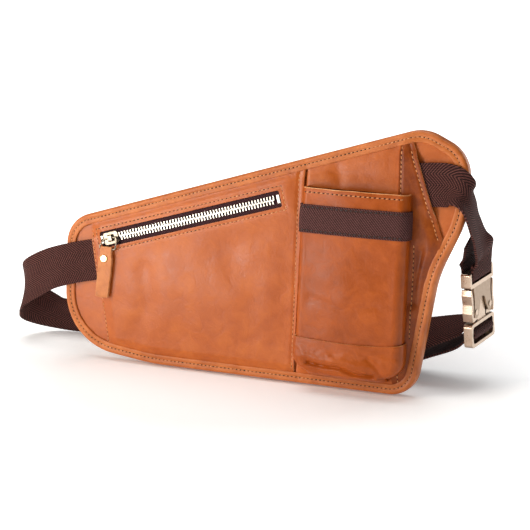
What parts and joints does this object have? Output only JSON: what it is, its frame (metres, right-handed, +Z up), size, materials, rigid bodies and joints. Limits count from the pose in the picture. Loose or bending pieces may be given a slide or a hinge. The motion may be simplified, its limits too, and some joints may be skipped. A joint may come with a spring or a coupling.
{
  "type": "waist pack",
  "caption": "Flat leather waist pack that widens to one side, with a slanted zip pocket, a phone pocket, webbing straps and a metal side-release buckle.",
  "frame": {"origin": "middle of the base of the whole pack as it stands on its lower edge and its strap", "axes": "+X along the pack towards the buckle, -Y out of its front, +Z up"},
  "size_m": [0.3779, 0.0855, 0.1887],
  "materials": {
    "leather": "smooth tan leather, satin, lightly burnished",
    "foam": "open-cell foam sheet, matt",
    "lining": "plain woven brown lining, matt",
    "webbing": "dark brown twill webbing, matt",
    "zip_tape": "dark brown herringbone zip tape, matt",
    "zip_metal": "antique brass, polished highs",
    "rivet_metal": "light brass, polished",
    "buckle_metal": "champagne plated die-cast zinc, satin",
    "spring_steel": "bright spring wire"
  },
  "bodies": {
    "pack": {"back_panel": "leather", "base_panel": "leather", "buckle_back_plate": "buckle_metal", "buckle_female_body": "buckle_metal", "buckle_front_plate": "buckle_metal", "edge_binding": "leather", "front_lining": "lining", "front_zip_stops": "zip_metal", "front_zip_tape_lower": "zip_tape", "front_zip_tape_upper": "zip_tape", "front_zip_teeth_lower": "zip_metal", "front_zip_teeth_upper": "zip_metal", "hidden_zip_tapes": "zip_tape", "hidden_zip_teeth": "zip_metal", "lever_pins": "buckle_metal", "lever_springs": "spring_steel", "mid_panel": "leather", "padding": "foam", "pocket_band": "webbing", "pocket_body": "leather", "pocket_boot": "leather", "side_panel": "leather", "strap_right": "webbing", "strap_tail": "webbing", "waist_strap": "webbing", "zip_panel": "leather"},
    "front_slider": {"front_zip_slider": "zip_metal"},
    "front_ring": {"front_pull_ring": "zip_metal"},
    "front_tab": {"front_pull_tab": "leather", "pull_rivet": "rivet_metal"},
    "hidden_slider": {"hidden_zip_slider": "zip_metal"},
    "hidden_puller": {"hidden_zip_puller": "zip_metal"},
    "lever_left": {"lever_left": "buckle_metal"},
    "lever_right": {"lever_right": "buckle_metal"},
    "male_buckle": {"buckle_male": "buckle_metal", "strap_bar_loop": "webbing"}
  },
  "joints": [
    {"name": "front_zip_slide", "type": "slide", "parent": "pack", "child": "front_slider", "axis": [0.9563, 0.0306, 0.2908], "range_m": [0, 0.127]},
    {"name": "front_ring_lift", "type": "hinge", "parent": "front_slider", "child": "front_ring", "pos_m": [-0.08936, -0.02305, 0.09386], "axis": [-0.9563, -0.0306, -0.2908], "range_deg": [0, 120]},
    {"name": "front_tab_lift", "type": "hinge", "parent": "front_ring", "child": "front_tab", "pos_m": [-0.0922, -0.02392, 0.08551], "axis": [-1, 0, 0], "range_deg": [0, 75]},
    {"name": "hidden_zip_slide", "type": "slide", "parent": "pack", "child": "hidden_slider", "axis": [-1, 0, 0], "range_m": [0, 0.048]},
    {"name": "hidden_puller_lift", "type": "hinge", "parent": "hidden_slider", "child": "hidden_puller", "pos_m": [0.1205, -0.01659, 0.14095], "axis": [-1, 0, 0], "range_deg": [0, 30]},
    {"name": "lever_left_press", "type": "hinge", "parent": "pack", "child": "lever_left", "pos_m": [0.17921, 0.01095, 0.05742], "axis": [-0.9834, 0.1733, -0.0541], "range_deg": [0, 8], "stiffness_Nm_per_rad": 0.4, "springref_deg": -2.86},
    {"name": "lever_right_press", "type": "hinge", "parent": "pack", "child": "lever_right", "pos_m": [0.18303, 0.033, 0.05854], "axis": [0.9834, -0.1733, 0.0541], "range_deg": [0, 8], "stiffness_Nm_per_rad": 0.4, "springref_deg": -2.86},
    {"name": "buckle_release", "type": "slide", "parent": "pack", "child": "male_buckle", "axis": [0.0619, 0.0401, -0.9973], "range_m": [0, 0.02]}
  ]
}
